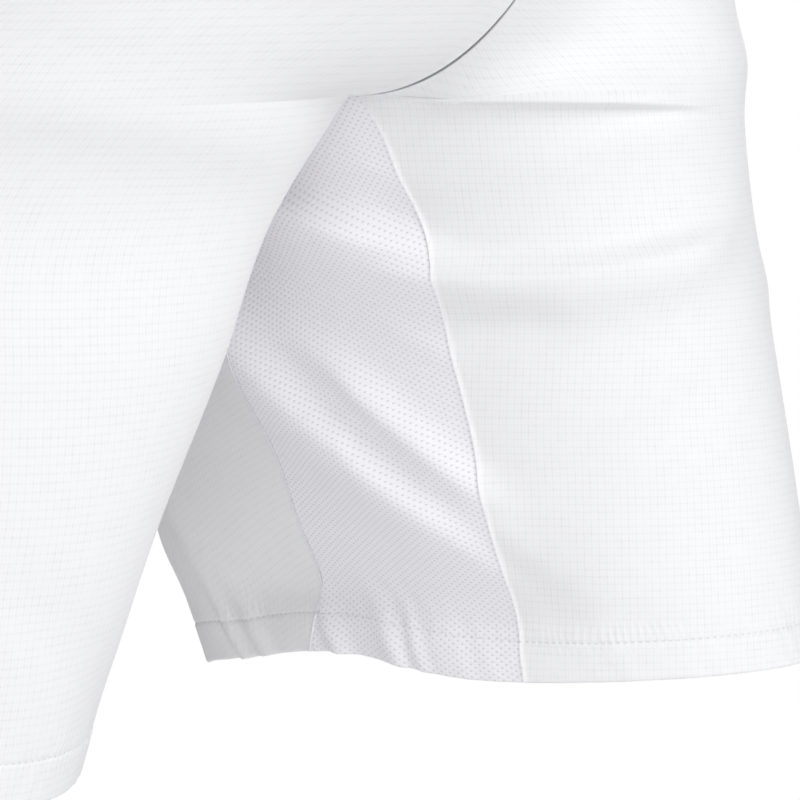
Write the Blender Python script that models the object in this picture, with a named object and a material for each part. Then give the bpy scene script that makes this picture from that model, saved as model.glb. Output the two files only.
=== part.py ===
"""Tennis shorts, worn mid-stride: the left leg is forward and the right leg trails.

Each leg is a woven front, a woven back and a mesh insert that runs up the inside of the thigh.
An elastic waistband joins the six panels. The wearer faces -Y and the wearer's left is +X.
The origin is the middle of the waistband. All sizes are in metres.
"""

import bmesh
import bpy
import numpy as np

# ---------------------------------------------------------------- driving dimensions

BAND_HALF_HEIGHT = 0.020
BAND_THICKNESS = 0.0028
BAND_PROUD = 0.0008

FORK_TOP_Z = -0.160       # above this the centre seams run straight down
CROTCH_Z = -0.270
HEM_Z = -0.495
INSERT_TOP_HALF = 0.025   # half the length of the seam where the two inserts meet

CLOTH = 0.0015
HEM_CLOTH = 0.0024        # the hem is turned up inside, so its wall is thicker
HEM_HEIGHT = 0.015
SEAM_GAP = 0.0003
CORNER_INSET = 0.98       # shortens the insert's top seam, to clear the front and back there

LEFT, RIGHT = 1, -1
HEM_TILT = {LEFT: -0.08, RIGHT: 0.22}   # how the hem rises towards the back, as a slope

FADE_X = 0.012            # folds die out this close to the middle, where the legs meet
FOLD_RADIUS = 0.110       # turns an angle round the leg into a distance

UPPER_ROWS = 15
ROW_CROWDING = 1.4        # how much closer the upper rows lie towards the crotch
LOWER_ROWS = 32
COLUMNS = {"front": 16, "back": 13, "insert": 12}
BAND_COLUMNS = 56


def table(columns, rows):
    """Columns of a small table, by name."""
    return dict(zip(columns.split(), np.array(rows, dtype=float).T))


# Sections of the hips. Depths are measured from the line between the side seams.
HIPS = table(
    "height  half_width  front_depth  back_depth", [
        (0.020, 0.149, 0.107, 0.110),
        (-0.020, 0.150, 0.108, 0.112),
        (-0.070, 0.163, 0.118, 0.128),
        (-0.130, 0.180, 0.124, 0.148),
        (-0.200, 0.187, 0.124, 0.155),
        (-0.270, 0.188, 0.120, 0.150),
    ])

# Slow waves of the left hem: it arches up inside the thigh and dips beside that, at the back.
HEM_WAVES = table("angle  spread  rise", [(-104, 20, 0.0090), (-156, 14, -0.0055)])

# Sections of each leg. The inner and outer points of a section are given by x and y,
# and the front and back bow out from the line between them.
LEG_COLUMNS = "height  inner_x  outer_x  inner_y  outer_y  front_depth  back_depth"
LEGS = {
    LEFT: table(LEG_COLUMNS, [
        (-0.270, -0.0017, 0.188, 0.000, 0.002, 0.118, 0.152),
        (-0.310, 0.008, 0.189, 0.002, 0.000, 0.120, 0.155),
        (-0.360, 0.017, 0.191, 0.000, -0.006, 0.122, 0.165),
        (-0.420, 0.027, 0.190, -0.006, -0.014, 0.125, 0.172),
        (-0.495, 0.036, 0.188, -0.015, -0.023, 0.128, 0.151),
    ]),
    RIGHT: table(LEG_COLUMNS, [
        (-0.270, -0.0052, 0.188, 0.000, 0.055, 0.062, 0.150),
        (-0.310, 0.011, 0.192, 0.022, 0.078, 0.063, 0.145),
        (-0.360, 0.018, 0.198, 0.058, 0.104, 0.088, 0.136),
        (-0.420, 0.031, 0.204, 0.100, 0.128, 0.108, 0.124),
        (-0.495, 0.044, 0.206, 0.136, 0.156, 0.118, 0.116),
    ]),
}

# Angles round a leg: 0 is the front, 90 the side seam, 180 the back, -90 the inside.
SEAM_COLUMNS = "height  front_seam  back_seam"
SEAM_ROWS = [
    (-0.285, -74.0, -98.5),
    (-0.303, -71.4, -102.5),
    (-0.328, -67.0, -105.0),
    (-0.365, -66.8, -106.4),
    (-0.400, -66.0, -103.8),
    (-0.440, -65.9, -104.0),
    (-0.495, -64.7, -107.6),
]

# Folds: a ridge (rise above 0) or trough along a bowed line between two places, each given by
# angle round the leg and height. `bow` is how far its middle lies above the straight line. The
# cloth falls off over the width `above` on the fold's upper side and `below` on its lower one.
FOLD_COLUMNS = "angle_1  height_1  angle_2  height_2  bow  above  below  rise"
FOLDS = {
    LEFT: table(FOLD_COLUMNS, [
        (-76, -0.270, 8, -0.276, 0.0040, 0.014, 0.009, 0.0050),       # cloth lapping at the groin
        (-66, -0.314, 10, -0.284, 0.0100, 0.009, 0.010, 0.0014),
        (-120, -0.280, -52, -0.341, -0.0080, 0.010, 0.009, 0.0085),   # high fold round the thigh
        (-88, -0.335, 12, -0.320, -0.0070, 0.010, 0.009, 0.0054),
        (-60, -0.357, 4, -0.332, -0.0015, 0.009, 0.012, 0.0020),
        (-68, -0.357, -38, -0.353, 0.0, 0.008, 0.008, -0.0026),
        (-110, -0.332, -58, -0.4370, 0.0000, 0.010, 0.010, 0.0066),  # long falls in the insert
        (-126, -0.300, -54, -0.4610, -0.0190, 0.011, 0.017, 0.0105),
        (-140, -0.466, -40, -0.472, -0.0040, 0.022, 0.012, -0.0095),  # the hollow above the hem
        (-2, -0.372, -66, -0.434, 0.0, 0.009, 0.010, -0.0018),        # slanting crease, front
        (-146, -0.400, -122, -0.505, 0.0, 0.010, 0.010, 0.0022),      # back, beside the insert
        (100, -0.270, -30, -0.235, -0.0100, 0.014, 0.014, 0.0030),    # hidden front and side
        (120, -0.325, 14, -0.345, -0.0120, 0.012, 0.012, 0.0034),
        (120, -0.425, 24, -0.420, 0.0120, 0.013, 0.013, -0.0030),
        (100, -0.300, 190, -0.318, -0.0080, 0.013, 0.010, 0.0046),    # under the seat
        (110, -0.335, 205, -0.342, -0.0100, 0.010, 0.010, -0.0034),
        (116, -0.388, 222, -0.468, 0.0060, 0.013, 0.010, 0.0040),
        (136, -0.436, 208, -0.500, 0.0040, 0.012, 0.012, -0.0030),
    ]),
    RIGHT: table(FOLD_COLUMNS, [
        (-80, -0.265, 60, -0.222, 0.0060, 0.014, 0.014, -0.0026),     # drawn flat over the front
        (-56, -0.300, 80, -0.262, 0.0060, 0.014, 0.012, 0.0028),
        (-106, -0.335, -64, -0.445, -0.0060, 0.011, 0.010, 0.0036),   # insert
        (-110, -0.390, -72, -0.495, -0.0040, 0.009, 0.010, -0.0030),
        (6, -0.448, 100, -0.422, 0.0140, 0.013, 0.013, 0.0026),
        (-44, -0.486, 36, -0.412, 0.0040, 0.013, 0.013, -0.0020),
        (66, -0.296, 164, -0.298, -0.0140, 0.013, 0.010, 0.0044),     # side and back
        (78, -0.328, 184, -0.326, -0.0180, 0.011, 0.011, -0.0036),
        (92, -0.368, 204, -0.366, -0.0200, 0.013, 0.011, 0.0044),
        (138, -0.414, 236, -0.414, -0.0200, 0.013, 0.013, -0.0034),
        (110, -0.446, 192, -0.500, 0.0040, 0.013, 0.011, 0.0034),
        (190, -0.312, 248, -0.440, -0.0040, 0.012, 0.012, 0.0036),
        (98, -0.210, 182, -0.224, -0.0100, 0.015, 0.013, 0.0030),     # seat
    ]),
}


# ---------------------------------------------------------------- curves and sections

def smooth_step(t):
    """0 up to t = 0, 1 from t = 1, with a soft start and end."""
    t = np.clip(t, 0.0, 1.0)
    return t * t * (3.0 - 2.0 * t)


def follow(rows, name, height, beyond=0.0):
    """Smooth curve through one column of a table, read at the given heights.

    Above the first row it goes on along its slope, by the share `beyond`.
    """
    x, y = rows["height"][::-1], rows[name][::-1]
    slope = np.gradient(y, x)
    over = np.maximum(height - x[-1], 0.0) * beyond * slope[-1]
    height = np.clip(height, x[0], x[-1])
    i = np.clip(np.searchsorted(x, height) - 1, 0, len(x) - 2)
    step = x[i + 1] - x[i]
    t = (height - x[i]) / step
    start = (2 * t**3 - 3 * t**2 + 1) * y[i] + (t**3 - 2 * t**2 + t) * step * slope[i]
    end = (3 * t**2 - 2 * t**3) * y[i + 1] + (t**3 - t**2) * step * slope[i + 1]
    return start + end + over


def hip_section(side, angle, height):
    """Half an oval on one side of the middle: angle 0 is the centre front, pi the centre back."""
    depth = np.where(np.cos(angle) > 0, follow(HIPS, "front_depth", height),
                     follow(HIPS, "back_depth", height))
    x = follow(HIPS, "half_width", height) * np.sin(angle)
    return np.stack([side * x, -depth * np.cos(angle), height], axis=-1)


def leg_section(side, angle, height, beyond=0.0):
    """Whole oval round one leg, with its hem tilted and, on the left, waved on the inside."""
    rows = LEGS[side]
    share = 0.5 + 0.5 * np.sin(angle)
    inner_x = follow(rows, "inner_x", height)
    outer_x = follow(rows, "outer_x", height, beyond)
    inner_y = follow(rows, "inner_y", height, beyond)
    outer_y = follow(rows, "outer_y", height, beyond)
    depth = np.where(np.cos(angle) > 0, follow(rows, "front_depth", height, beyond),
                     follow(rows, "back_depth", height, beyond))
    x = inner_x + (outer_x - inner_x) * share
    y = inner_y + (outer_y - inner_y) * share - depth * np.cos(angle)
    down = np.clip((CROTCH_Z - height) / (CROTCH_Z - HEM_Z), 0.0, 1.0)
    z = height + HEM_TILT[side] * down * (y - (inner_y + outer_y) / 2)
    if side == LEFT:
        for middle, spread, rise in zip(*HEM_WAVES.values()):
            z = z + rise * down**2 * np.exp(-(turn(np.degrees(angle) - middle) / spread)**2)
    return np.stack([side * np.maximum(x, SEAM_GAP / 2), y, z], axis=-1)


def turn(degrees):
    """The same angle between -180 and 180."""
    return (degrees + 180.0) % 360.0 - 180.0


def seam_angle(side, name, height):
    """Angle of an insert's seam. At the crotch it is set by the length of the top seam."""
    depth, forward = {"front_seam": ("front_depth", 1), "back_seam": ("back_depth", -1)}[name]
    reach = INSERT_TOP_HALF
    for _ in range(3):
        half = np.arcsin(reach / LEGS[side][depth][0])
        reach = INSERT_TOP_HALF + forward * LEGS[side]["outer_y"][0] * (1 - np.cos(half)) / 2
    half = np.degrees(half)
    top = (CROTCH_Z, -90.0 + half, -90.0 - half)
    return np.radians(follow(table(SEAM_COLUMNS, [top] + SEAM_ROWS), name, height))


# ---------------------------------------------------------------- panels

def panel_surface(side, piece, across, down):
    """Points of a panel before folding, with each point's angle and height for the folds.

    `across` runs from 0 to 1 in the direction of rising angle. `down` is 0 at the waistband,
    1 at the crotch and 2 at the hem. Between 0 and 1 the hip sections turn into leg sections,
    late along the centre seam, which curves under to the crotch, and evenly along the side.
    """
    outness = {"front": across, "back": 1.0 - across, "insert": 0.0 * across}[piece]
    side_share = smooth_step(outness * 1.6)
    curve = np.clip(2.0 * down - 1.0, 0.0, 1.0) * np.pi / 2
    centre_z = (-BAND_HALF_HEIGHT + (FORK_TOP_Z + BAND_HALF_HEIGHT) * np.clip(2 * down, 0, 1)
                + (CROTCH_Z - FORK_TOP_Z) * np.sin(curve))
    side_z = -BAND_HALF_HEIGHT + (CROTCH_Z + BAND_HALF_HEIGHT) * np.clip(down, 0.0, 1.0)
    below = (HEM_Z - CROTCH_Z) * np.clip(down - 1.0, 0.0, 1.0)
    height = centre_z + (side_z - centre_z) * side_share + below
    centre_leg, side_leg = 1.0 - np.cos(curve), smooth_step(down)
    leg_share = centre_leg + (side_leg - centre_leg) * side_share

    front_seam = seam_angle(side, "front_seam", height)
    back_seam = seam_angle(side, "back_seam", height)
    if piece == "insert":
        angle = back_seam + (front_seam - back_seam) * across
        return leg_section(side, angle, height), angle, height
    if piece == "front":
        hip_angle = across * np.pi / 2
        leg_angle = front_seam + (np.pi / 2 - front_seam) * across
    else:
        hip_angle = np.pi / 2 + across * np.pi / 2
        leg_angle = np.pi / 2 + (back_seam + 2 * np.pi - np.pi / 2) * across
    hip = hip_section(side, hip_angle, height)
    leg = leg_section(side, leg_angle, height, beyond=side_share)
    points = hip + (leg - hip) * leg_share[..., None]
    return points, hip_angle + (leg_angle - hip_angle) * leg_share, height


def fold_relief(side, angle, height):
    """Height of the folds, on the leg unrolled flat.

    A fold lies on a parabola over the straight line between its two places. Across it the cloth
    falls off as a bell, and it fades over the first and the last third of its length.
    """
    relief = np.zeros_like(height)
    degrees = np.degrees(angle)
    folds = [FOLDS[side][name] for name in FOLD_COLUMNS.split()]
    for a1, h1, a2, h2, bow, above, below, rise in zip(*folds):
        way = np.array([FOLD_RADIUS * np.radians(a2 - a1), h2 - h1])
        length = np.hypot(*way)
        along_x, along_z = way / length
        dx = FOLD_RADIUS * np.radians(turn(degrees - (a1 + a2) / 2))
        dz = height - (h1 + h2) / 2
        t = (dx * along_x + dz * along_z) / length + 0.5
        off = np.sign(along_x) * (dz * along_x - dx * along_z) - bow * 4 * t * (1 - t)
        width = np.where(off > 0, above, below)
        ends = smooth_step(3 * t) * smooth_step(3 * (1 - t))
        relief += rise * ends * np.exp(-(off / width)**2)
    return relief


def pulled_in(points):
    """The grid with its first and last columns drawn in by half a seam gap."""
    points = points.copy()
    for edge, inside in ((0, 1), (-1, -2)):
        step = points[:, inside] - points[:, edge]
        length = np.linalg.norm(step, axis=-1, keepdims=True)
        points[:, edge] += step / length * SEAM_GAP / 2
    return points


def panel_rows(piece):
    """Rows from waist to hem, closer together at and below the crotch; an insert starts there."""
    hem_start = 2.0 - HEM_HEIGHT / (CROTCH_Z - HEM_Z)
    upper = 1.0 - np.linspace(1.0, 0.0, UPPER_ROWS + 1)[:-1] ** ROW_CROWDING
    lower = np.linspace(1.0, hem_start, LOWER_ROWS - 1)
    rows = np.concatenate([lower, [hem_start + 0.01, 2.0]])
    return rows if piece == "insert" else np.concatenate([upper, rows])


def make_panel(side, piece):
    """One cloth panel as a closed wall, thicker inside where its hem is turned up."""
    rows = panel_rows(piece)
    across, down = np.meshgrid(np.linspace(0.0, 1.0, COLUMNS[piece] + 1), rows)
    if piece == "insert":
        across[0] = 0.5 + (across[0] - 0.5) * CORNER_INSET
    points, angle, height = panel_surface(side, piece, across, down)
    step = 1e-4
    along = (panel_surface(side, piece, across + step, down)[0]
             - panel_surface(side, piece, across - step, down)[0])
    downward = (panel_surface(side, piece, across, down + step)[0]
                - panel_surface(side, piece, across, down - step)[0])
    normal = side * np.cross(downward, along)
    normal /= np.linalg.norm(normal, axis=-1, keepdims=True)

    fade = smooth_step(np.abs(points[..., 0]) / FADE_X)
    outer = pulled_in(points) + normal * (fold_relief(side, angle, height) * fade)[..., None]
    turned_up = down > rows[-3] + 1e-9
    thickness = np.where(turned_up, HEM_CLOTH, CLOTH)
    inner = outer - normal * thickness[..., None]
    for layer in (outer, inner):
        layer[..., 0] = side * np.maximum(side * layer[..., 0], SEAM_GAP / 2)
    return outer, inner


def make_waistband():
    """The elastic band as a closed ring, standing a little proud of the panels below it."""
    angle = np.linspace(0.0, 2 * np.pi, BAND_COLUMNS + 1)[:-1]
    heights = np.array([BAND_HALF_HEIGHT, 0.0, SEAM_GAP - BAND_HALF_HEIGHT])
    angle, height = np.meshgrid(angle, heights)
    ring = hip_section(RIGHT, angle, height)
    outward = ring * np.array([1.0, 1.0, 0.0])
    outward /= np.linalg.norm(outward, axis=-1, keepdims=True)
    outer = ring + outward * BAND_PROUD
    return outer, outer - outward * BAND_THICKNESS


# ---------------------------------------------------------------- meshes and materials

def strip(first, second, closed):
    """Quads between two lines of point numbers."""
    a, b = list(first), list(second)
    if closed:
        a, b = a + a[:1], b + b[:1]
    return [(a[i], a[i + 1], b[i + 1], b[i]) for i in range(len(a) - 1)]


def wall_object(name, outer, inner, material, closed=False):
    """A closed wall between two grids of points; `closed` joins the last column to the first."""
    rows, columns = outer.shape[:2]
    outside = np.arange(rows * columns).reshape(rows, columns)
    inside = outside + rows * columns
    faces = []
    for r in range(rows - 1):
        faces += strip(outside[r], outside[r + 1], closed)
        faces += strip(inside[r], inside[r + 1], closed)
    faces += strip(outside[0], inside[0], closed)
    faces += strip(outside[-1], inside[-1], closed)
    if not closed:
        faces += strip(outside[:, 0], inside[:, 0], False)
        faces += strip(outside[:, -1], inside[:, -1], False)

    mesh = bpy.data.meshes.new(name)
    points = np.concatenate([outer.reshape(-1, 3), inner.reshape(-1, 3)])
    mesh.from_pydata(points.tolist(), [], [tuple(int(i) for i in face) for face in faces])
    shell = bmesh.new()
    shell.from_mesh(mesh)
    bmesh.ops.recalc_face_normals(shell, faces=shell.faces)
    shell.to_mesh(mesh)
    shell.free()
    mesh.shade_smooth()
    mesh.set_sharp_from_angle(angle=np.radians(50))
    mesh.materials.append(material)
    made = bpy.data.objects.new(name, mesh)
    bpy.data.collections["tennis_shorts"].objects.link(made)
    return made


def cloth_material(name, colour, roughness):
    """A plain cloth finish."""
    material = bpy.data.materials.new(name)
    material.use_nodes = True
    shader = material.node_tree.nodes["Principled BSDF"]
    shader.inputs["Base Color"].default_value = (*colour, 1.0)
    shader.inputs["Roughness"].default_value = roughness
    shader.inputs["Metallic"].default_value = 0.0
    return material


def clear_scene():
    """Start from an empty scene with one collection for the garment."""
    for old in list(bpy.data.objects):
        bpy.data.objects.remove(old)
    collection = bpy.data.collections.new("tennis_shorts")
    bpy.context.scene.collection.children.link(collection)


def build():
    """The waistband and the six panels, each its own object and material."""
    clear_scene()
    woven_white, shaded_white, mesh_white = (0.90, 0.91, 0.93), (0.86, 0.86, 0.87), (0.83, 0.83, 0.87)
    finish = {"front": (woven_white, 0.75), "back": (shaded_white, 0.75), "insert": (mesh_white, 0.85)}
    for side, side_name in ((LEFT, "left"), (RIGHT, "right")):
        for piece in ("front", "back", "insert"):
            name = f"{piece}_{side_name}"
            material = cloth_material(f"{name}_cloth", *finish[piece])
            outer, inner = make_panel(side, piece)
            wall_object(name, outer, inner, material)
    band = cloth_material("waistband_cloth", woven_white, 0.8)
    outer, inner = make_waistband()
    wall_object("waistband", outer, inner, band, closed=True)


build()
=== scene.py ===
import bpy
import numpy as np
from mathutils import Matrix


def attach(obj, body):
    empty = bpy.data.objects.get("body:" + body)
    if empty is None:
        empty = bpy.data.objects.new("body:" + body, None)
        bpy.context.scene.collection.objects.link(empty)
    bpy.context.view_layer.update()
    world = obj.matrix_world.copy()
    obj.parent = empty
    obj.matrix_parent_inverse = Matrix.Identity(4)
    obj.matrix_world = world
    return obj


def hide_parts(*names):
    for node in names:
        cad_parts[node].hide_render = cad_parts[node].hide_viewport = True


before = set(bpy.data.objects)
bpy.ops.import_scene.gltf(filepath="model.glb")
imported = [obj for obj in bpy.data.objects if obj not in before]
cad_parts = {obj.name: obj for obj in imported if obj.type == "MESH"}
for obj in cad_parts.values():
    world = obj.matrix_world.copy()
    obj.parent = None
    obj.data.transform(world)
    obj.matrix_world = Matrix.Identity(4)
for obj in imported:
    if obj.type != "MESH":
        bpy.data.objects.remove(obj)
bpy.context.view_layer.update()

# ------------------------------------------------------------------ View, light and floor
# The photo is a close view of the inside of the forward leg, past the trailing leg, from the
# wearer's right and front. The crotch lies just above its top edge. One pixel is 0.37 mm there.

AZIMUTH, ELEVATION = np.radians(-52.0), np.radians(7.0)
DISTANCE = 1.3
PIXEL = 0.37e-3
IMAGE = 800
CROTCH = np.array([0.0, 0.0, -0.270])
CROTCH_PIXEL = (305, 92)
SENSOR = 0.036

back = np.array([np.sin(AZIMUTH) * np.cos(ELEVATION), -np.cos(AZIMUTH) * np.cos(ELEVATION),
                 np.sin(ELEVATION)])
right = np.array([np.cos(AZIMUTH), np.sin(AZIMUTH), 0.0])
up = np.cross(back, right)
target = (CROTCH + (IMAGE / 2 - CROTCH_PIXEL[0]) * PIXEL * right
          - (IMAGE / 2 - CROTCH_PIXEL[1]) * PIXEL * up)


def world_matrix(x_axis, y_axis, z_axis, place):
    """Blender matrix with the given unit axes and place."""
    matrix = np.eye(4)
    matrix[:3] = np.stack([x_axis, y_axis, z_axis, place], axis=-1)
    return Matrix(matrix.tolist())


camera_data = bpy.data.cameras.new("close view")
camera_data.sensor_width = SENSOR * 1000
camera_data.lens = camera_data.sensor_width * DISTANCE / (IMAGE * PIXEL)
camera_data.clip_start, camera_data.clip_end = 0.05, 60.0
camera = bpy.data.objects.new("close view", camera_data)
camera.matrix_world = world_matrix(right, up, back, target + DISTANCE * back)
bpy.context.scene.collection.objects.link(camera)
bpy.context.scene.camera = camera
bpy.context.scene.view_settings.view_transform = "Standard"
bpy.context.scene.view_settings.look = "None"


def softbox(name, toward, distance, size, power, colour):
    """Square area light that looks at the target from the direction `toward`."""
    toward = np.array(toward, float) / np.linalg.norm(toward)
    side = np.cross((0.0, 0.0, 1.0), toward)
    side /= np.linalg.norm(side)
    data = bpy.data.lights.new(name, "AREA")
    data.shape, data.size, data.energy, data.color = "SQUARE", size, power, colour
    lamp = bpy.data.objects.new(name, data)
    place = target + distance * toward
    lamp.matrix_world = world_matrix(side, np.cross(toward, side), toward, place)
    bpy.context.scene.collection.objects.link(lamp)


softbox("key softbox", 0.62 * right + 0.74 * back + 0.56 * up, 2.6, 1.2, 25.0, (0.99, 1.0, 1.0))
softbox("front softbox", 0.08 * right + 0.95 * back - 0.20 * up, 3.0, 0.9, 23.0, (1.0, 1.0, 1.0))
softbox("side softbox", 0.95 * right + 0.25 * back + 0.15 * up, 3.0, 1.2, 10.0, (1.0, 1.0, 1.0))
softbox("left softbox", -0.80 * right + 0.50 * back + 0.30 * up, 3.0, 1.2, 11.0, (1.0, 0.99, 0.98))
# A weak light from the wearer's left and back, for the sides that the photo doesn't show.
softbox("rear softbox", (0.94, 0.34, 0.25), 3.0, 1.4, 8.0, (1.0, 1.0, 1.0))

# The white room is seen at full brightness but lights the cloth more softly than that.
ROOM_LIGHT = 0.38
world = bpy.data.worlds.new("white studio")
bpy.context.scene.world = world
world.use_nodes = True
room = world.node_tree.nodes["Background"]
room.inputs["Color"].default_value = (1.0, 1.0, 1.0, 1.0)
seen = world.node_tree.nodes.new("ShaderNodeLightPath").outputs["Is Camera Ray"]
strength = world.node_tree.nodes.new("ShaderNodeMapRange")
strength.inputs["To Min"].default_value, strength.inputs["To Max"].default_value = ROOM_LIGHT, 1.0
world.node_tree.links.new(seen, strength.inputs["Value"])
world.node_tree.links.new(strength.outputs["Result"], room.inputs["Strength"])


def linear(hex_colour):
    """sRGB hex such as "f4f5f7" as linear red, green, blue and 1."""
    srgb = np.array([int(hex_colour[i:i + 2], 16) for i in (0, 2, 4)]) / 255
    low, high = srgb / 12.92, ((srgb + 0.055) / 1.055) ** 2.4
    return (*np.where(srgb <= 0.04045, low, high).tolist(), 1.0)


FLOOR_Z, FLOOR_RADIUS = -1.02, 1.7      # about as far below the waist as the ground is
FLOOR_CORNERS = 96
rim = np.linspace(0.0, 2 * np.pi, FLOOR_CORNERS + 1)[:-1]
floor_data = bpy.data.meshes.new("studio floor")
corners = np.stack([FLOOR_RADIUS * np.cos(rim), FLOOR_RADIUS * np.sin(rim),
                    np.full_like(rim, FLOOR_Z)], axis=-1)
floor_data.from_pydata(corners.tolist(), [], [list(range(FLOOR_CORNERS))])
floor = bpy.data.objects.new("studio floor", floor_data)
bpy.context.scene.collection.objects.link(floor)
paper = bpy.data.materials.new("white paper floor")
paper.use_nodes = True
paper.node_tree.nodes["Principled BSDF"].inputs["Base Color"].default_value = linear("fafafa")
paper.node_tree.nodes["Principled BSDF"].inputs["Roughness"].default_value = 0.9
floor_data.materials.append(paper)


# ------------------------------------------------------------------ Fronts
# Each front is one piece of thin white woven polyester, from the waistband to the hem. It joins
# the other front down the middle, the back at the side and the mesh insert inside the thigh.
# The seam allowances there are pressed under it, so its edge stands a little above the mesh.

LEFT, RIGHT = 1, -1
BAND_HALF_HEIGHT = 0.020
FORK_TOP_Z, CROTCH_Z, HEM_Z = -0.160, -0.270, -0.495
INSERT_TOP_HALF = 0.025                  # half the width of each insert at the crotch
HEM_TILT = {LEFT: -0.08, RIGHT: 0.22}    # rise of the hem towards the back
FADE_X = 0.012                           # the folds fade out this near to the middle plane
FOLD_RADIUS = 0.110                      # turns an angle round the leg into a length along the cloth
CLOTH = 0.0005
HEM_CLOTH = 0.0011
HEM_HEIGHT = 0.015


def table(columns, rows):
    """Columns of a small table, by name."""
    return dict(zip(columns.split(), np.array(rows, dtype=float).T))


HIPS = table(
    "height  half_width  front_depth  back_depth", [
        (0.020, 0.149, 0.107, 0.110),
        (-0.020, 0.150, 0.108, 0.112),
        (-0.070, 0.163, 0.118, 0.128),
        (-0.130, 0.180, 0.124, 0.148),
        (-0.200, 0.187, 0.124, 0.155),
        (-0.270, 0.188, 0.120, 0.150),
    ])

# Slow waves of the left hem: it arches up inside the thigh and dips beside that, at the back.
HEM_WAVES = table("angle spread rise", [(-104, 20, 0.0090), (-156, 14, -0.0055)])

LEG_COLUMNS = "height  inner_x  outer_x  inner_y  outer_y  front_depth  back_depth"
LEGS = {
    LEFT: table(LEG_COLUMNS, [
        (-0.270, -0.0017, 0.188, 0.000, 0.002, 0.118, 0.152),
        (-0.310, 0.008, 0.189, 0.002, 0.000, 0.120, 0.155),
        (-0.360, 0.017, 0.191, 0.000, -0.006, 0.122, 0.165),
        (-0.420, 0.027, 0.190, -0.006, -0.014, 0.125, 0.172),
        (-0.495, 0.036, 0.188, -0.015, -0.023, 0.128, 0.151),
    ]),
    RIGHT: table(LEG_COLUMNS, [
        (-0.270, -0.0052, 0.188, 0.000, 0.055, 0.062, 0.150),
        (-0.310, 0.011, 0.192, 0.022, 0.078, 0.063, 0.145),
        (-0.360, 0.018, 0.198, 0.058, 0.104, 0.088, 0.136),
        (-0.420, 0.031, 0.204, 0.100, 0.128, 0.108, 0.124),
        (-0.495, 0.044, 0.206, 0.136, 0.156, 0.118, 0.116),
    ]),
}

# Height, and the angles of the insert's front and back seams: 0 is the front and -90 the inside.
# A search outside this script found them, by laying the folded seams on those in the photo.
SEAM_ROWS = [
    (-0.285, -74.0, -98.5),
    (-0.303, -71.4, -102.5),
    (-0.328, -67.0, -105.0),
    (-0.365, -66.8, -106.4),
    (-0.400, -66.0, -103.8),
    (-0.440, -65.9, -104.0),
    (-0.495, -64.7, -107.6),
]

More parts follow.
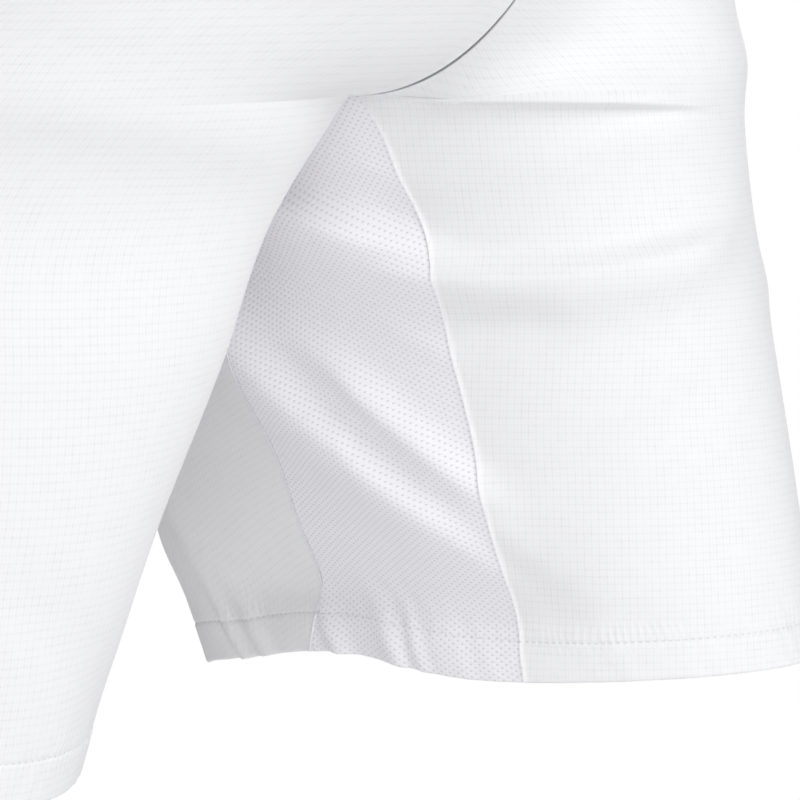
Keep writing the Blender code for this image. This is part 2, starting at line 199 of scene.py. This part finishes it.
# Folds: a ridge (rise above 0) or trough along a bowed line between two places, each given by angle
# round the leg and height. `bow` is how far its middle lies above the straight line. The cloth falls
# off over one width above the fold and another below it.
FOLD_COLUMNS = "angle_1 height_1 angle_2 height_2 bow above below rise"
FOLDS = {
    LEFT: table(FOLD_COLUMNS, [
        (-104, -0.2735, 8, -0.277, 0.0040, 0.014, 0.0020, 0.0055),  # cloth lapping at the groin
        (-66, -0.314, 10, -0.284, 0.0100, 0.008, 0.010, 0.0014),
        (-150, -0.2600, -50, -0.340, -0.0085, 0.0065, 0.018, 0.0106),  # high fold, on the insert
        (-112, -0.298, -62, -0.316, 0.0, 0.0080, 0.0065, -0.0030),
        (-88, -0.336, 12, -0.318, -0.009, 0.0055, 0.015, 0.0084),  # high fold, on the front
        (-60, -0.357, 4, -0.332, -0.0015, 0.008, 0.012, 0.0014),
        (-68, -0.357, -42, -0.353, 0.0, 0.006, 0.007, -0.0014),
        (-110, -0.337, -59, -0.4360, 0.0, 0.0075, 0.008, 0.0036),  # upper long fall in the insert
        (-97, -0.362, -59, -0.4360, 0.0, 0.0075, 0.008, 0.0038),
        (-112, -0.350, -52, -0.4720, 0.0, 0.0060, 0.006, -0.0026),
        (-131, -0.268, -54, -0.4610, -0.0240, 0.011, 0.020, 0.0125),  # lower long fall
        (-84, -0.350, -62, -0.376, 0.0, 0.006, 0.006, 0.0010),
        (-140, -0.464, -44, -0.469, -0.004, 0.024, 0.014, -0.0100),  # hollow above the hem
        (-98, -0.288, -70, -0.300, 0.0, 0.005, 0.005, 0.0016),
        (-2, -0.372, -66, -0.434, 0.0, 0.008, 0.010, -0.0018),
        (-66, -0.470, -30, -0.474, 0.0, 0.008, 0.005, -0.0010),
        (-146, -0.400, -122, -0.505, 0.0, 0.010, 0.010, 0.0022),
        (100, -0.270, -30, -0.235, -0.010, 0.014, 0.014, 0.0030),  # hidden front, side and back
        (120, -0.325, 14, -0.345, -0.012, 0.012, 0.012, 0.0034),
        (120, -0.425, 24, -0.420, 0.012, 0.013, 0.013, -0.0030),
        (100, -0.300, 190, -0.318, -0.008, 0.013, 0.010, 0.0046),
        (110, -0.335, 205, -0.342, -0.010, 0.010, 0.010, -0.0034),
        (116, -0.388, 222, -0.468, 0.006, 0.013, 0.010, 0.0040),
        (136, -0.436, 208, -0.500, 0.004, 0.012, 0.012, -0.0030),
    ]),
    RIGHT: table(FOLD_COLUMNS, [
        (-80, -0.265, 60, -0.222, 0.006, 0.014, 0.014, -0.0026),
        (-56, -0.300, 80, -0.262, 0.006, 0.014, 0.012, 0.0028),
        (-106, -0.335, -64, -0.445, -0.006, 0.011, 0.010, 0.0036),
        (-110, -0.390, -72, -0.495, -0.004, 0.009, 0.010, -0.0030),
        (6, -0.448, 100, -0.422, 0.014, 0.013, 0.013, 0.0026),
        (-44, -0.486, 36, -0.412, 0.004, 0.013, 0.013, -0.0020),
        (66, -0.296, 164, -0.298, -0.014, 0.013, 0.010, 0.0044),  # side and back
        (78, -0.328, 184, -0.326, -0.018, 0.011, 0.011, -0.0036),
        (92, -0.368, 204, -0.366, -0.020, 0.013, 0.011, 0.0044),
        (138, -0.414, 236, -0.414, -0.020, 0.013, 0.013, -0.0034),
        (110, -0.446, 192, -0.500, 0.004, 0.013, 0.011, 0.0034),
        (190, -0.312, 248, -0.440, -0.004, 0.012, 0.012, 0.0036),
        (98, -0.210, 182, -0.224, -0.010, 0.015, 0.013, 0.0030),
    ]),
}


def smooth_step(t):
    """0 up to t = 0, 1 from t = 1, with a soft start and end."""
    t = np.clip(t, 0.0, 1.0)
    return t * t * (3.0 - 2.0 * t)


def follow(rows, name, height, beyond=0.0):
    """Cubic curve through one column of a table, read at the given heights.

    Above the first row it goes on along its slope, by the share `beyond`.
    """
    x, y = rows["height"][::-1], rows[name][::-1]
    slope = np.gradient(y, x)
    over = np.maximum(height - x[-1], 0.0) * beyond * slope[-1]
    height = np.clip(height, x[0], x[-1])
    i = np.clip(np.searchsorted(x, height) - 1, 0, len(x) - 2)
    step = x[i + 1] - x[i]
    t = (height - x[i]) / step
    start = (2 * t**3 - 3 * t**2 + 1) * y[i] + (t**3 - 2 * t**2 + t) * step * slope[i]
    end = (3 * t**2 - 2 * t**3) * y[i + 1] + (t**3 - t**2) * step * slope[i + 1]
    return start + end + over


def hip_section(side, angle, height):
    """Half an oval on one side of the middle: angle 0 is the centre front, pi the centre back."""
    depth = np.where(np.cos(angle) > 0, follow(HIPS, "front_depth", height),
                     follow(HIPS, "back_depth", height))
    x = follow(HIPS, "half_width", height) * np.sin(angle)
    return np.stack([side * x, -depth * np.cos(angle), height], axis=-1)


def turn(degrees):
    """The same angle between -180 and 180."""
    return (degrees + 180.0) % 360.0 - 180.0


def leg_section(side, angle, height, beyond=0.0):
    """Whole oval round one leg, with its hem tilted and, on the left, arched on the inside."""
    rows = LEGS[side]
    share = 0.5 + 0.5 * np.sin(angle)
    inner_x = follow(rows, "inner_x", height)
    outer_x = follow(rows, "outer_x", height, beyond)
    inner_y = follow(rows, "inner_y", height, beyond)
    outer_y = follow(rows, "outer_y", height, beyond)
    depth = np.where(np.cos(angle) > 0, follow(rows, "front_depth", height, beyond),
                     follow(rows, "back_depth", height, beyond))
    x = inner_x + (outer_x - inner_x) * share
    y = inner_y + (outer_y - inner_y) * share - depth * np.cos(angle)
    down = np.clip((CROTCH_Z - height) / (CROTCH_Z - HEM_Z), 0.0, 1.0)
    z = height + HEM_TILT[side] * down * (y - (inner_y + outer_y) / 2)
    if side == LEFT:
        for middle, spread, rise in zip(*HEM_WAVES.values()):
            z = z + rise * down**2 * np.exp(-(turn(np.degrees(angle) - middle) / spread)**2)
    return np.stack([side * np.maximum(x, 0.0), y, z], axis=-1)


def seam_angle(side, name, height):
    """Angle of an insert's seam. At the crotch it is set by the length of the top seam."""
    depth, forward = {"front_seam": ("front_depth", 1), "back_seam": ("back_depth", -1)}[name]
    reach = INSERT_TOP_HALF
    for _ in range(3):
        half = np.arcsin(reach / LEGS[side][depth][0])
        reach = INSERT_TOP_HALF + forward * LEGS[side]["outer_y"][0] * (1 - np.cos(half)) / 2
    half = np.degrees(half)
    rows = table("height front_seam back_seam", [(CROTCH_Z, -90.0 + half, -90.0 - half)] + SEAM_ROWS)
    return np.radians(follow(rows, name, height))


SIDE_REACH = 1.6        # the side's form is reached at 1 / 1.6 of the way from the middle to the side


def panel_surface(side, piece, across, down):
    """Points of a panel before folding, with each point's angle and height.

    `across` runs from 0 to 1 in the direction of rising angle. `down` is 0 at the waistband,
    1 at the crotch and 2 at the hem. Between 0 and 1 the hip sections turn into leg sections,
    late along the centre seam, which curves under to the crotch, and evenly along the side.
    """
    outness = {"front": across, "back": 1.0 - across, "insert": 0.0 * across}[piece]
    side_share = smooth_step(outness * SIDE_REACH)
    curve = np.clip(2.0 * down - 1.0, 0.0, 1.0) * np.pi / 2
    centre_z = (-BAND_HALF_HEIGHT + (FORK_TOP_Z + BAND_HALF_HEIGHT) * np.clip(2 * down, -1, 1)
                + (CROTCH_Z - FORK_TOP_Z) * np.sin(curve))
    side_z = -BAND_HALF_HEIGHT + (CROTCH_Z + BAND_HALF_HEIGHT) * np.clip(down, -1.0, 1.0)
    below = (HEM_Z - CROTCH_Z) * np.clip(down - 1.0, 0.0, 1.0)
    height = centre_z + (side_z - centre_z) * side_share + below
    centre_leg, side_leg = 1.0 - np.cos(curve), smooth_step(down)
    leg_share = centre_leg + (side_leg - centre_leg) * side_share

    front_seam = seam_angle(side, "front_seam", height)
    back_seam = seam_angle(side, "back_seam", height)
    if piece == "insert":
        angle = back_seam + (front_seam - back_seam) * across
        return leg_section(side, angle, height), angle, height
    if piece == "front":
        hip_angle = across * np.pi / 2
        leg_angle = front_seam + (np.pi / 2 - front_seam) * across
    else:
        hip_angle = np.pi / 2 + across * np.pi / 2
        leg_angle = np.pi / 2 + (back_seam + 2 * np.pi - np.pi / 2) * across
    hip = hip_section(side, hip_angle, height)
    leg = leg_section(side, leg_angle, height, beyond=side_share)
    points = hip + (leg - hip) * leg_share[..., None]
    return points, hip_angle + (leg_angle - hip_angle) * leg_share, height


def fold_relief(side, angle, height):
    """Sum of the folds on the leg, unrolled flat.

    A fold lies on a parabola over the straight line between its two places. Across it the cloth
    falls off as a bell, and it fades over the first and the last third of its length.
    """
    relief = np.zeros_like(height)
    degrees = np.degrees(angle)
    folds = FOLDS[side]
    for a1, h1, a2, h2, bow, above, below, rise in zip(*(folds[n] for n in FOLD_COLUMNS.split())):
        way = np.array([FOLD_RADIUS * np.radians(a2 - a1), h2 - h1])
        length = np.hypot(*way)
        along_x, along_z = way / length
        upward = np.sign(along_x)
        dx, dz = FOLD_RADIUS * np.radians(turn(degrees - (a1 + a2) / 2)), height - (h1 + h2) / 2
        t = (dx * along_x + dz * along_z) / length + 0.5
        off = upward * (dz * along_x - dx * along_z) - bow * 4 * t * (1 - t)
        width = np.where(off > 0, above, below)
        ends = smooth_step(3 * t) * smooth_step(3 * (1 - t))
        relief += rise * ends * np.exp(-(off / width)**2)
    return relief


SEAM_STEPS = np.array([0.0, 0.0003, 0.0006, 0.0009, 0.0013, 0.0018, 0.0025])
HEM_STEPS = np.array([-0.0016, -0.0008, -0.0004, -0.0002, 0.0, 0.0002, 0.0004, 0.0008, 0.0016])
EDGE_STEPS = np.array([0.0, 0.0002, 0.0005, 0.0010])
GRID = {"front": (140, 0.270), "back": (120, 0.290), "insert": (60, 0.080)}
UPPER_ROWS, LOWER_ROWS = 130, 120
CREASE_ROWS = np.linspace(0.955, 1.075, 49)      # finer rows for the sharp crease at the groin
LEG_LENGTH = CROTCH_Z - HEM_Z
TUCK = 0.0010                       # how far a panel reaches under its neighbour
TOP_OVERLAP = 0.008                 # share of the upper part that lies under the waistband
SEAM_CLEAR, STITCH_CLEAR, EDGE_CLEAR, CREASE_CLEAR = 1.3, 0.0025, 0.0015, 0.003


def panel_grid(piece):
    """Places across and down a panel, closer together at its seams, at the hem and its stitching."""
    columns, width = GRID[piece]
    across = np.linspace(0.0, 1.0, columns + 1)
    edge = SEAM_STEPS / width
    inside = across[(across > edge[-1] * SEAM_CLEAR) & (across < 1 - edge[-1] * SEAM_CLEAR)]
    across = np.concatenate([edge, inside, 1.0 - edge[::-1]])
    if piece == "insert":
        across = np.concatenate([[-TUCK / width], across, [1.0 + TUCK / width]])
    if piece == "back":
        across = np.concatenate([[-TUCK / width], across])
    stitch = 2.0 - HEM_HEIGHT / LEG_LENGTH
    near_stitch = stitch + HEM_STEPS / LEG_LENGTH
    lower = np.linspace(1.0, 2.0, LOWER_ROWS + 1)
    clear = np.abs(lower - stitch) > STITCH_CLEAR / LEG_LENGTH
    lower = lower[clear & (lower < 2.0 - EDGE_CLEAR / LEG_LENGTH)]
    lower = np.sort(np.concatenate([lower, near_stitch, 2.0 - EDGE_STEPS / LEG_LENGTH]))
    upper = np.linspace(-TOP_OVERLAP, 1.0, UPPER_ROWS + 1)[:-1]
    if piece == "insert":
        return across, lower
    down = np.concatenate([upper, lower])
    if piece == "front":
        down = down[(down < CREASE_ROWS[0] - CREASE_CLEAR) | (down > CREASE_ROWS[-1] + CREASE_CLEAR)]
        down = np.sort(np.concatenate([down, CREASE_ROWS]))
    return across, down


def surface_normal(side, piece, across, down):
    """Outward unit normal, from small steps along the panel in both directions."""
    step = 1e-4
    along = (panel_surface(side, piece, across + step, down)[0]
             - panel_surface(side, piece, across - step, down)[0])
    downward = (panel_surface(side, piece, across, np.clip(down + step, None, 2.0))[0]
                - panel_surface(side, piece, across, down - step)[0])
    normal = side * np.cross(downward, along)
    return normal / np.linalg.norm(normal, axis=-1, keepdims=True)


def gathers(x, y, drop, rise, reach):
    """Small uneven waves round the waist, which die out over `reach` below the elastic."""
    turn_round = np.arctan2(y, x)
    wave = (np.sin(86 * turn_round + 2.2 * np.sin(5 * turn_round))
            + 0.6 * np.sin(57 * turn_round + 1.7 * np.sin(3 * turn_round + 1.0) + 14 * drop))
    return rise * wave * np.exp(-np.maximum(drop, 0.0) / reach)


# Each row: the angle at the waves' middle, how far round they spread, their rise and their pitch.
HEM_RIPPLE = table("angle spread rise pitch", [
    (-130, 14, 0.0019, 0.0210), (-94, 12, 0.0019, 0.0150), (-60, 200, 0.0002, 0.0170)])
RIPPLE_SLANT, RIPPLE_TOP, RIPPLE_FADE = 0.45, 0.040, 0.030


def hem_ripples(angle, above_hem):
    """Slanting waves that the stitching draws up in the hem, most of them inside the thigh."""
    degrees, place = np.degrees(angle), FOLD_RADIUS * angle
    relief = np.zeros_like(angle)
    for middle, spread, rise, pitch in zip(*HEM_RIPPLE.values()):
        phase = 2 * np.pi * (place + RIPPLE_SLANT * above_hem) / pitch
        wave = np.sin(phase + 1.9 * np.sin(0.37 * phase)) * (0.7 + 0.3 * np.sin(0.23 * phase + 1.0))
        relief += rise * wave * np.exp(-(turn(degrees - middle) / spread)**2)
    return relief * smooth_step((RIPPLE_TOP - above_hem) / RIPPLE_FADE)


def edge_distance(points):
    """Distance along each row from its first column, as a running sum of the steps."""
    step = np.linalg.norm(np.diff(points, axis=1), axis=-1)
    return np.concatenate([np.zeros_like(step[:, :1]), np.cumsum(step, axis=1)], axis=1)


SEAM_RIDGE = {"front": 0.00075, "back": 0.00045, "insert": -0.00030}
SEAM_SPREAD = {"front": 0.0010, "back": 0.0009, "insert": 0.0016}
TUCK_DEPTH = 0.0006
GATHER_RISE, GATHER_REACH, GATHER_END = 0.0008, 0.030, 0.15
BAND_SEAM_DEPTH, BAND_SEAM_WIDTH, BAND_SEAM_END = 0.0006, 0.002, 0.004
STITCH_DEPTH, STITCH_WIDTH = 0.00030, 0.0006
HEM_STEP, HEM_STEP_WIDTH = 0.0003, 0.0012
HEM_EDGE_DEPTH, HEM_EDGE_WIDTH = 0.0005, 0.0004


def panel_points(side, piece):
    """Outer and inner points of a panel, with the place of each point on the flat cloth.

    The panel's surface is moved along its normal by the folds, the gathers below the waist, a low
    ridge or step at the seams and a groove where the hem is stitched.
    """
    across, down = np.meshgrid(*panel_grid(piece))
    points, angle, height = panel_surface(side, piece, across, down)
    normal = surface_normal(side, piece, across, down)
    fade = smooth_step(np.abs(points[..., 0]) / FADE_X)
    relief = fold_relief(side, angle, height) * fade

    run = edge_distance(points)
    to_edge = np.minimum(run, run[:, -1:] - run)
    relief += SEAM_RIDGE[piece] * np.exp(-(to_edge / SEAM_SPREAD[piece])**2)
    tucked = (across < 0) | (across > 1)
    relief -= TUCK_DEPTH * tucked

    drop = -BAND_HALF_HEIGHT - height
    waves = gathers(points[..., 0], points[..., 1], drop, GATHER_RISE, GATHER_REACH)
    relief += waves * (drop < GATHER_END)
    band_seam = np.exp(-(np.minimum(drop, BAND_SEAM_END) / BAND_SEAM_WIDTH)**2)
    relief -= BAND_SEAM_DEPTH * band_seam * (drop < BAND_SEAM_END)

    above_hem = (2.0 - down) * LEG_LENGTH
    turned_up = smooth_step((HEM_HEIGHT - above_hem) / HEM_STEP_WIDTH)
    relief -= STITCH_DEPTH * np.exp(-((above_hem - HEM_HEIGHT) / STITCH_WIDTH)**2)
    relief += HEM_STEP * turned_up
    relief += hem_ripples(angle, above_hem)
    relief -= HEM_EDGE_DEPTH * np.exp(-(above_hem / HEM_EDGE_WIDTH)**2)
    outer = points + normal * relief[..., None]

    thickness = CLOTH + (HEM_CLOTH - CLOTH) * turned_up
    inner = outer - normal * thickness[..., None]
    for layer in (outer, inner):
        layer[..., 0] = side * np.maximum(side * layer[..., 0], 0.0)
    return outer, inner, angle, height, run, above_hem


SHARP_ANGLE = np.radians(60.0)


def wall_mesh(name, outer, inner, maps, closed=False):
    """Closed wall between two grids of points, each seen as rows and columns.

    `maps` holds UV maps by name, each a pair of grids shared by both layers. Its faces are turned
    to point outwards by comparing one of them with the way from the inner to the outer layer.
    """
    rows, columns = outer.shape[:2]
    outside = np.arange(rows * columns).reshape(rows, columns)
    inside = outside + rows * columns
    if closed:
        outside, inside = (np.concatenate([g, g[:, :1]], axis=1) for g in (outside, inside))

    def quads(a, b):
        return np.stack([a[:-1], a[1:], b[1:], b[:-1]], axis=-1).reshape(-1, 4)

    faces = [np.stack([g[:-1, :-1], g[:-1, 1:], g[1:, 1:], g[1:, :-1]], axis=-1).reshape(-1, 4)
             for g in (outside, inside[:, ::-1])]
    faces += [quads(inside[0], outside[0]), quads(outside[-1], inside[-1])]
    if not closed:
        faces += [quads(outside[:, 0], inside[:, 0]), quads(inside[:, -1], outside[:, -1])]
    faces = np.concatenate(faces)
    corner, beside, below = outer[0, 0], outer[0, 1], outer[1, 0]
    if np.dot(np.cross(beside - corner, below - corner), corner - inner[0, 0]) <= 0:
        faces = faces[:, ::-1]

    mesh = bpy.data.meshes.new(name)
    points = np.concatenate([outer.reshape(-1, 3), inner.reshape(-1, 3)])
    mesh.vertices.add(len(points))
    mesh.vertices.foreach_set("co", points.ravel())
    mesh.loops.add(faces.size)
    mesh.loops.foreach_set("vertex_index", faces.ravel().astype(np.int32))
    mesh.polygons.add(len(faces))
    mesh.polygons.foreach_set("loop_start", np.arange(0, faces.size, 4, dtype=np.int32))
    mesh.update(calc_edges=True)
    mesh.shade_smooth()
    mesh.set_sharp_from_angle(angle=SHARP_ANGLE)
    for map_name, (u, v) in maps.items():
        layer = mesh.uv_layers.new(name=map_name)
        flat = np.stack([u.ravel(), v.ravel()], axis=-1)
        flat = np.concatenate([flat, flat])
        layer.data.foreach_set("uv", flat[faces.ravel()].ravel())
    piece = bpy.data.objects.new(name, mesh)
    bpy.context.scene.collection.objects.link(piece)
    return piece


def add(tree, kind, *inputs, output=0, **settings):
    """Add a shader node and return one of its outputs.

    Its sockets take the inputs in order, or by name where a setting starts with a capital. Each
    takes a number or another node's output. The other settings are the node's own.
    """
    node = tree.nodes.new("ShaderNode" + kind)
    for name in (name for name in settings if name[0].islower()):
        setattr(node, name, settings[name])
    named = [(node.inputs[name.replace("_", " ")], settings[name]) for name in settings
             if name[0].isupper()]
    for socket, value in list(zip(node.inputs, inputs)) + named:
        if isinstance(value, bpy.types.NodeSocket):
            tree.links.new(value, socket)
        else:
            socket.default_value = value
    return node.outputs[output]


def soft_edge(tree, value, start, end):
    """1 below `start` and 0 above `end`, softly."""
    return add(tree, "MapRange", Value=value, From_Min=start, From_Max=end, To_Min=1.0, To_Max=0.0,
               interpolation_type="SMOOTHSTEP")


def soft_lines(tree, coordinate, pitch, half_width):
    """1 on lines one pitch apart, and 0 from half a width away from them."""
    away = add(tree, "Math", coordinate, pitch / 2, operation="PINGPONG")
    return soft_edge(tree, away, 0.0, half_width)


def weighted(tree, *pairs):
    """Sum of outputs, each with its weight."""
    total = 0.0
    for value, weight in pairs:
        total = add(tree, "Math", value, weight, total, operation="MULTIPLY_ADD")
    return total


def hem_pattern(tree, pucker_pitch):
    """Depth of the hem's stitches, which the cloth also darkens as painted shade of their groove, and
    height of the puckers beside them, as two outputs.
    """
    uv = add(tree, "UVMap", uv_map="hem")
    along, up = (add(tree, "SeparateXYZ", uv, output=axis) for axis in ("X", "Y"))
    from_stitch = add(tree, "Math", up, HEM_HEIGHT, operation="SUBTRACT")
    distance = add(tree, "Math", from_stitch, operation="ABSOLUTE")
    below = add(tree, "Math", from_stitch, -1.0, operation="MULTIPLY")
    dashes = soft_lines(tree, along, 0.0028, 0.0012)
    stitch = add(tree, "Math", soft_edge(tree, distance, 0.0, 0.0005),
                 weighted(tree, (dashes, 0.8)), operation="MULTIPLY")
    wander = add(tree, "TexNoise", Vector=uv, Scale=45.0, Detail=1.0, noise_dimensions="2D")
    phase = weighted(tree, (along, 2 * np.pi / pucker_pitch), (wander, 14.0))
    wave = add(tree, "Math", phase, operation="SINE")
    uneven = add(tree, "TexNoise", Vector=uv, Scale=70.0, Detail=0.0, noise_dimensions="2D")
    for share in (soft_edge(tree, from_stitch, 0.001, 0.011), soft_edge(tree, below, 0.0, 0.005), uneven):
        wave = add(tree, "Math", wave, share, operation="MULTIPLY")
    return stitch, wave


# Thin plain-woven polyester. Every 2.8 mm a heavier thread runs each way, which gives the faint
# grid, with a finer line between the upright ones. The yarn is matt with a slight sheen.
WEAVE_PITCH = 0.00278
WEAVE_COLOUR, WEAVE_LINE_COLOUR = "f3f3f5", "dcdcdd"


def woven_cloth(name, colour, line_colour):
    """Woven polyester: a colour mixed along the grid, painted shade along the hem's stitched groove, and
    a bump of grid, threads and puckers.
    """
    material = bpy.data.materials.new(name)
    material.use_nodes = True
    tree = material.node_tree
    shader = tree.nodes["Principled BSDF"]
    uv = add(tree, "UVMap", uv_map="cloth")
    sideways, upward = (add(tree, "SeparateXYZ", uv, output=axis) for axis in ("X", "Y"))
    upright = soft_lines(tree, sideways, WEAVE_PITCH, 0.00055)
    between = soft_lines(tree, sideways, WEAVE_PITCH / 2, 0.00045)
    level = soft_lines(tree, upward, WEAVE_PITCH, 0.00060)
    crossing = add(tree, "Math", upright, level, operation="MULTIPLY")
    patch = add(tree, "TexNoise", Vector=uv, Scale=140.0, Detail=2.0, noise_dimensions="2D")
    lines = weighted(tree, (upright, 0.35), (between, 0.30), (level, 0.40), (crossing, 0.45))
    lines = add(tree, "Math", lines, weighted(tree, (patch, 1.5)), operation="MULTIPLY")
    fine = add(tree, "Mapping", Vector=uv, Scale=(1600.0, 220.0, 1.0))
    thread = add(tree, "TexNoise", Vector=fine, Scale=1.0, Detail=2.0, noise_dimensions="2D")
    stitch, pucker = hem_pattern(tree, 0.0030)
    # The stitch term darkens the hem's stitching with painted shade of its sunk groove.
    tint = weighted(tree, (lines, 0.42), (thread, 0.16), (stitch, 1.2))
    mixed = add(tree, "Mix", data_type="RGBA", Factor=tint, A=linear(colour), B=linear(line_colour),
                output="Result")
    tree.links.new(mixed, shader.inputs["Base Color"])
    height = weighted(tree, (lines, -0.30), (thread, 0.30), (pucker, 1.6), (stitch, -1.2))
    bump = add(tree, "Bump", Height=height, Strength=0.5, Distance=0.00014)
    tree.links.new(bump, shader.inputs["Normal"])
    shader.inputs["Roughness"].default_value = 0.62
    shader.inputs["Specular IOR Level"].default_value = 0.35
    shader.inputs["Sheen Weight"].default_value = 0.12
    shader.inputs["Sheen Roughness"].default_value = 0.45
    return material


front_cloth = woven_cloth("white woven polyester", WEAVE_COLOUR, WEAVE_LINE_COLOUR)

GRAIN_ANGLE = np.radians(-10.0)


def flat_place(angle, height, run, grain_angle):
    """Place on the flat cloth: sideways from the grain line, and up from the hem.

    The grain line crosses each row between two of its columns, or at the row's nearer end.
    """
    last = angle.shape[1] - 2
    left = np.clip((angle < grain_angle).sum(axis=1, keepdims=True) - 1, 0, last)
    a, b = (np.take_along_axis(angle, left + k, axis=1) for k in (0, 1))
    start, end = (np.take_along_axis(run, left + k, axis=1) for k in (0, 1))
    share = np.clip((grain_angle - a) / (b - a), 0.0, 1.0)
    return run - (start + (end - start) * share), height - HEM_Z


def lean_front(u, v):
    """The grain of a front leans away from its seam towards the hem, and its rows rise outwards."""
    lower = smooth_step((0.190 - v) / 0.100)
    return u - 0.13 * lower * (v - 0.19), v + 0.03 * u * lower


def make_panel(side, side_name, piece, material, grain_angle, lean):
    """One finished panel, riding on the root, in place of its solid."""
    outer, inner, angle, height, run, above_hem = panel_points(side, piece)
    u, v = lean(*flat_place(angle, height, run, grain_angle))
    made = wall_mesh(f"{piece}_{side_name}_cloth", outer, inner,
                     {"cloth": (u, v), "hem": (run, above_hem)})
    made.data.materials.append(material)
    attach(made, "root")
    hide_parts(f"{piece}_{side_name}")


SIDES = (LEFT, "left"), (RIGHT, "right")
for side, side_name in SIDES:
    make_panel(side, side_name, "front", front_cloth, GRAIN_ANGLE, lean_front)


# ------------------------------------------------------------------ Backs
# The backs are the same woven cloth, cut deeper for the seat. Their cloth is cut at a slant by the
# inner seam, so the rows of its grid climb towards the insert there.

BACK_GRAIN_ANGLE = np.radians(180.0)


def lean_back(u, v):
    """Rows climb towards the inner seam, by about 20 degrees at the seam."""
    return u, v - 0.10 * np.maximum(u, 0.0) - 0.25 * np.maximum(u - 0.05, 0.0)


for side, side_name in SIDES:
    make_panel(side, side_name, "back", front_cloth, BACK_GRAIN_ANGLE, lean_back)


# ------------------------------------------------------------------ Inner-thigh inserts
# A tapering strip of warp-knit polyester mesh runs from the crotch to the hem of each leg and lets
# air in. Its small holes stand in rows 2.3 mm apart, each row half a step along from the last.

MESH_ACROSS, MESH_ALONG = 0.00380, 0.00230
# The holes' colour is painted shade: the shaded inside of the shorts seen through them.
MESH_COLOUR, MESH_HOLE_SHADE = "f8f7fa", "bab8c0"


def mesh_knit(name):
    """Warp-knit mesh: the product of two cosines has its peaks in staggered rows, one at each hole.

    The holes are coloured with painted shade, for the shade seen through them, and are sunk. The yarn
    between them stands up.
    """
    material = bpy.data.materials.new(name)
    material.use_nodes = True
    tree = material.node_tree
    shader = tree.nodes["Principled BSDF"]
    uv = add(tree, "UVMap", uv_map="cloth")
    waves = []
    for axis, pitch in (("X", MESH_ACROSS), ("Y", MESH_ALONG)):
        place = add(tree, "SeparateXYZ", uv, output=axis)
        turns = weighted(tree, (place, 2 * np.pi / pitch))
        waves.append(add(tree, "Math", turns, operation="COSINE"))
    lattice = add(tree, "Math", *waves, operation="MULTIPLY")
    yarn = soft_edge(tree, lattice, 0.40, 1.0)
    hole = weighted(tree, (yarn, -1.0), (1.0, 1.0))
    fine = add(tree, "Mapping", Vector=uv, Scale=(2200.0, 900.0, 1.0))
    thread = add(tree, "TexNoise", Vector=fine, Scale=1.0, Detail=1.0, noise_dimensions="2D")
    stitch, pucker = hem_pattern(tree, 0.0060)
    # The stitch term adds painted shade along the hem's stitched groove.
    tint = weighted(tree, (hole, 0.46), (thread, 0.12), (stitch, 0.35))
    mixed = add(tree, "Mix", data_type="RGBA", Factor=tint, A=linear(MESH_COLOUR),
                B=linear(MESH_HOLE_SHADE), output="Result")
    tree.links.new(mixed, shader.inputs["Base Color"])
    height = weighted(tree, (lattice, -0.6), (hole, -0.4), (thread, 0.25), (pucker, 0.6), (stitch, -0.6))
    bump = add(tree, "Bump", Height=height, Strength=0.5, Distance=0.00022)
    tree.links.new(bump, shader.inputs["Normal"])
    shader.inputs["Roughness"].default_value = 0.75
    shader.inputs["Specular IOR Level"].default_value = 0.3
    shader.inputs["Sheen Weight"].default_value = 0.10
    shader.inputs["Sheen Roughness"].default_value = 0.5
    return material


insert_cloth = mesh_knit("white mesh knit")

INSERT_GRAIN_ANGLE = np.radians(-60.0)


def lean_insert(u, v):
    """The holes' columns run along the front seam. Their rows rise towards it, less so lower down."""
    rise = 0.05 + 0.13 * smooth_step((v - 0.03) / 0.15)
    return u, v - rise * u


for side, side_name in SIDES:
    make_panel(side, side_name, "insert", insert_cloth, INSERT_GRAIN_ANGLE, lean_insert)


# ------------------------------------------------------------------ Waistband
# A 40 mm elastic is closed in a tube of the woven cloth and sewn to the top of the panels. The
# elastic draws the cloth up, so it lies in small upright waves all the way round.

BAND_PROUD, BAND_THICKNESS = 0.0008, 0.0024
BAND_COLUMNS, BAND_ROWS = 720, 34
BAND_GAP, BAND_WAVE, BAND_WAVE_REACH = 0.0003, 0.00035, 1.0
ROLL_SHARPNESS, ROLL_IN, ROLL_THIN = 16, 0.4, 0.8


def waistband_points():
    """Outer and inner layers of the band: an oval ring with gathers and edges rolled inwards."""
    angle = np.linspace(0.0, 2 * np.pi, BAND_COLUMNS + 1)[:-1]
    height = np.linspace(BAND_HALF_HEIGHT, BAND_GAP - BAND_HALF_HEIGHT, BAND_ROWS)
    angle, height = np.meshgrid(angle, height)
    ring = hip_section(RIGHT, angle, height)
    outward = ring * np.array([1.0, 1.0, 0.0])
    outward /= np.linalg.norm(outward, axis=-1, keepdims=True)
    edge = (np.abs(height) / BAND_HALF_HEIGHT)**ROLL_SHARPNESS
    rolled = 1.0 - np.sqrt(np.clip(1.0 - edge, 0.0, 1.0))
    waves = gathers(ring[..., 0], ring[..., 1], 0.2 * height, BAND_WAVE, BAND_WAVE_REACH)
    relief = BAND_PROUD + waves - rolled * BAND_THICKNESS * ROLL_IN
    outer = ring + outward * relief[..., None]
    depth = BAND_THICKNESS * (1.0 - ROLL_THIN * rolled)
    inner = outer - outward * depth[..., None]
    return outer, inner, angle, height


outer, inner, angle, height = waistband_points()
arc = edge_distance(outer)
waistband = wall_mesh("waistband_cloth", outer, inner,
                      {"cloth": (arc, height), "hem": (arc, height + 0.5)}, closed=True)
waistband.data.materials.append(front_cloth)
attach(waistband, "root")
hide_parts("waistband")
